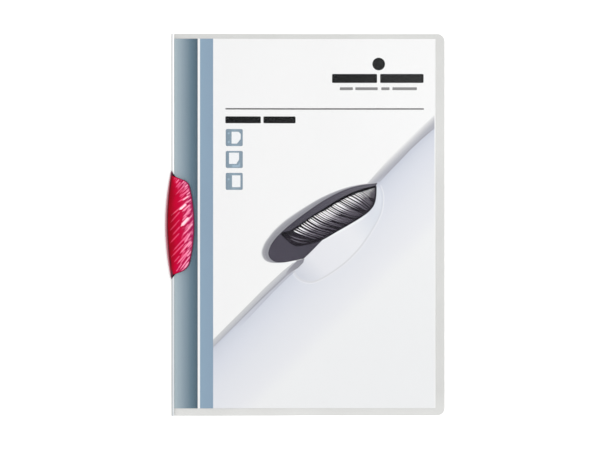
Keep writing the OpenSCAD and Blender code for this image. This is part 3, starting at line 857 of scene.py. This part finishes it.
# The rim's plastic: painted light makes it dusty rose at its thin outer edge, as if light shone through, and painted
# shade makes it purple under the jaw
def rimRed():
    material, tree, shader = newMaterial("rimRedPlastic")
    edge = addNode(tree, "ShaderNodeAttribute", attribute_name="inward")
    shade = addNode(tree, "ShaderNodeAttribute", attribute_name="shaded")
    place = addNode(tree, "ShaderNodeTexCoord")
    cloud = noiseValue(tree, place.outputs["Object"], 300.0, 2.0)
    # painted light: pale rose at the outer edge, deep red further in
    paintedLight = rampColour(tree, edge.outputs["Fac"], [(0.0, "A8747C"), (0.25, "C08C94"), (0.6, "B8707C"), (1.0, "7C1024")])
    # painted shade: dark purple under the jaw
    dark = addNode(tree, "ShaderNodeMix", {"Factor": shade.outputs["Fac"], "B": linear("4A2C40")}, data_type="RGBA")
    tree.links.new(paintedLight, dark.inputs["A"])
    tone = addNode(tree, "ShaderNodeMapRange", {"Value": cloud, "To Min": 0.9, "To Max": 1.1})
    shaded = dimmed(tree, dark.outputs["Result"], tone.outputs["Result"])
    plug(tree, shader, {"Base Color": shaded, "Roughness": 0.35, "Specular IOR Level": 0.15})
    return material


# the rim: a flat ring with a rounded outer edge, beyond the jaw all round and pointed at both ends
def jawRim():
    low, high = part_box("jaw_rim")
    reach, out = (high.x - spineX) / mm, (spineX - low.x) / mm
    left, right = jawEdges(reach, jawHigh.y / mm, -jawLow.y / mm, out)
    tipTop, tipLow = high.y / mm, -low.y / mm
    half, middle = (tipTop + tipLow) / 2 - 0.3, (tipTop - tipLow) / 2
    radius = (half * half + out * out) / (2 * out)
    v = middle + (half + 0.25) * np.sin(np.linspace(math.pi / 2, -math.pi / 2, 201))
    outer = radius - out - np.sqrt(np.maximum(radius ** 2 - (v - middle) ** 2, 0))
    d = np.interp(v, right[::-1, 1], right[::-1, 0], left=0, right=0)
    beak = np.interp(v, [-tipLow, -tipLow + 0.6, -tipLow + 7, tipTop - 5, tipTop - 0.6, tipTop],
                     [0.4, 0.8, 1.2, 1.2, 1.1, 0.5])
    ring = np.vstack([np.stack([outer, v], 1), np.stack([np.maximum(d, beak), v], 1)[::-1]])
    holeLeft, holeRight = 0.8, jawEdges(reach - 0.5, jawHigh.y / mm, -jawLow.y / mm, out, 2.2)[1]
    vIn = v * (holeRight[0][1] - 1.4) / tipTop
    rIn = np.maximum(np.interp(vIn, holeRight[::-1, 1], holeRight[::-1, 0]), holeLeft + 0.1)
    hole = np.vstack([np.stack([vIn * 0 + holeLeft, vIn], 1), np.stack([rIn, vIn], 1)[::-1]])
    count = len(ring)
    run = hole - ring
    length = np.linalg.norm(run, axis=1)
    unit = run / length[:, None]
    base, top = low.z / mm, high.z / mm
    loops, inward = [], []
    for step, z in ((0.0, base), (0.0, top - 0.22), (0.07, top - 0.07), (0.22, top), (0.6, top), (1.0, top), (1.5, top),
                    (2.0, top), (None, top), (None, base)):
        spot = hole if step is None else ring + unit * np.minimum(step, length * 0.45)[:, None]
        loops.append(np.column_stack([spineX + spot[:, 0] * mm, spot[:, 1] * mm, np.full(count, z * mm)]))
        inward.append(np.full(count, 2.0 if step is None else step) / 2.0)
    faces = []
    for k in range(len(loops)):
        n = (k + 1) % len(loops)
        for i in range(count):
            j = (i + 1) % count
            faces.append((k * count + i, k * count + j, n * count + j, n * count + i))
    piece = meshPiece("jawRim", np.vstack(loops), faces, rimRed())
    at = np.tile(ring, (len(loops), 1))
    # painted shade: darker under the jaw and towards both ends
    shaded = np.clip(smooth(at[:, 0], 1.0, 3.0) + 0.75 * smooth(np.abs(at[:, 1] - middle), half - 3.5, half - 1), 0, 1)
    for label, values in (("inward", np.concatenate(inward)), ("shaded", shaded)):
        piece.data.attributes.new(label, "FLOAT", "POINT").data.foreach_set("value", values.astype(np.float32))
    bm = bmesh.new()
    bm.from_mesh(piece.data)
    bmesh.ops.recalc_face_normals(bm, faces=bm.faces[:])
    bm.to_mesh(piece.data)
    bm.free()
    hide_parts("jaw_rim")
    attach(piece, "clip")
    return piece


jawRim()
plainRed = smoothRed("smoothRedPlastic", "5C0612", "7A0A1A")
dress("rear_jaw", plainRed)
dress("jaw_web", plainRed)


# Zinc plated steel: cool grey, softly brushed round the head
def zincSteel():
    material, tree, shader = newMaterial("zincPlatedSteel")
    place = addNode(tree, "ShaderNodeTexCoord")
    brush = noiseValue(tree, place.outputs["Object"], 1800.0, 2.0)
    gloss = addNode(tree, "ShaderNodeMapRange", {"Value": brush, "To Min": 0.25, "To Max": 0.42})
    tint = rampColour(tree, brush, [(0.3, "B4B7BC"), (0.7, "C6C8CC")])
    plug(tree, shader, {"Base Color": tint, "Roughness": gloss.outputs["Result"], "Metallic": 1.0})
    return material


steel = zincSteel()
for name in ("pivot_eyelet", "pivot_rivet", "rivet_washer"):
    dress(name, steel)
dress("clamp_rib", milkyFilm("ribRubber", "2A1014", "1E0A0E", 1.0))
print("clip done")


stage = {"floor": 4.0, "world": 0.98, "softbox": (0.34, 0.16, 1.25), "size": 0.42, "power": 4.25}
# Matt white paper floor with a little light of its own, so that it stays paler than the sheet
floorLook, tree, shader = newMaterial("paleFloor")
place = addNode(tree, "ShaderNodeTexCoord")
mottle = noiseValue(tree, place.outputs["Object"], 6.0, 2.0)
tint = rampColour(tree, mottle, [(0.3, "F2F2F2"), (0.7, "F6F6F6")])
plug(tree, shader, {"Base Color": tint, "Roughness": 0.9, "Emission Color": (1, 1, 1, 1), "Emission Strength": 0.25})
half = stage["floor"] / 2
floor = meshPiece("floor", [(-half, -half, -0.0001), (half, -half, -0.0001), (half, half, -0.0001),
                            (-half, half, -0.0001)], [(0, 1, 2, 3)], floorLook, smooth=False)

world = bpy.data.worlds.new("softStudio")
world.use_nodes = True
world.node_tree.nodes["Background"].inputs["Color"].default_value = (1, 1, 1, 1)
world.node_tree.nodes["Background"].inputs["Strength"].default_value = stage["world"]
bpy.context.scene.world = world
lampData = bpy.data.lights.new("softbox", "AREA")
lampData.shape = "RECTANGLE"
lampData.size = lampData.size_y = stage["size"]
lampData.energy = stage["power"]
lamp = bpy.data.objects.new("softbox", lampData)
lamp.location = stage["softbox"]
aim = jaw.matrix_world.translation + (jawLow + jawHigh) / 2 - lamp.location
lamp.rotation_euler = aim.to_track_quat("-Z", "Y").to_euler()
bpy.context.scene.collection.objects.link(lamp)
bpy.context.scene.view_settings.view_transform = "Standard"

view = {"width": 481.9 * mm, "centre": (-4.11 * mm, 0.2 * mm), "lens": 100.0, "sensor": 36.0}
cameraData = bpy.data.cameras.new("camera")
cameraData.lens = view["lens"]
cameraData.sensor_width = view["sensor"]
camera = bpy.data.objects.new("camera", cameraData)
camera.location = (*view["centre"], view["width"] * view["lens"] / view["sensor"] + 3 * mm)
bpy.context.scene.collection.objects.link(camera)
bpy.context.scene.camera = camera
print("stage done")
